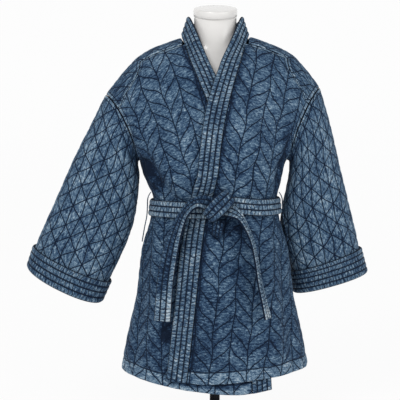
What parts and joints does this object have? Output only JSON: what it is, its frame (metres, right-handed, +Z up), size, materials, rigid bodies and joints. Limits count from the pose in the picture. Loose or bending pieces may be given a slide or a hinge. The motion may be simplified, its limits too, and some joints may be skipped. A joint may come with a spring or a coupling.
{
  "type": "quilted kimono jacket on a dress form",
  "caption": "Quilted wrap jacket with wide sleeves, a long collar band and a tied belt, worn by a limbless dress form on a pole stand.",
  "frame": {"origin": "middle of the stand's round base, on its underside", "axes": "+Z up, the jacket's front faces -Y, +X is the wearer's left"},
  "size_m": [0.8488, 0.3399, 1.0578],
  "materials": {
    "leaf_quilt": "stone-washed indigo denim, quilted in leaves",
    "grid_quilt": "stone-washed indigo denim, quilted in a triangle grid",
    "stitched_trim": "stone-washed indigo denim bands with rows of stitching",
    "form_shell": "glossy white shell",
    "stand_metal": "dark satin paint"
  },
  "bodies": {
    "root": {"front_over": "leaf_quilt", "front_under": "leaf_quilt", "back": "grid_quilt", "collar_band": "stitched_trim", "sleeve_left": "grid_quilt", "sleeve_right": "grid_quilt", "cuff_left": "stitched_trim", "cuff_right": "stitched_trim", "belt_waist": "stitched_trim", "belt_knot": "stitched_trim", "belt_knot_end": "stitched_trim", "belt_tail_left": "stitched_trim", "belt_tail_right": "stitched_trim", "belt_loop_left": "stitched_trim", "belt_loop_right": "stitched_trim", "form_torso": "form_shell", "form_neck_cap": "form_shell", "stand_pole": "stand_metal", "stand_base": "stand_metal"}
  },
  "joints": []
}
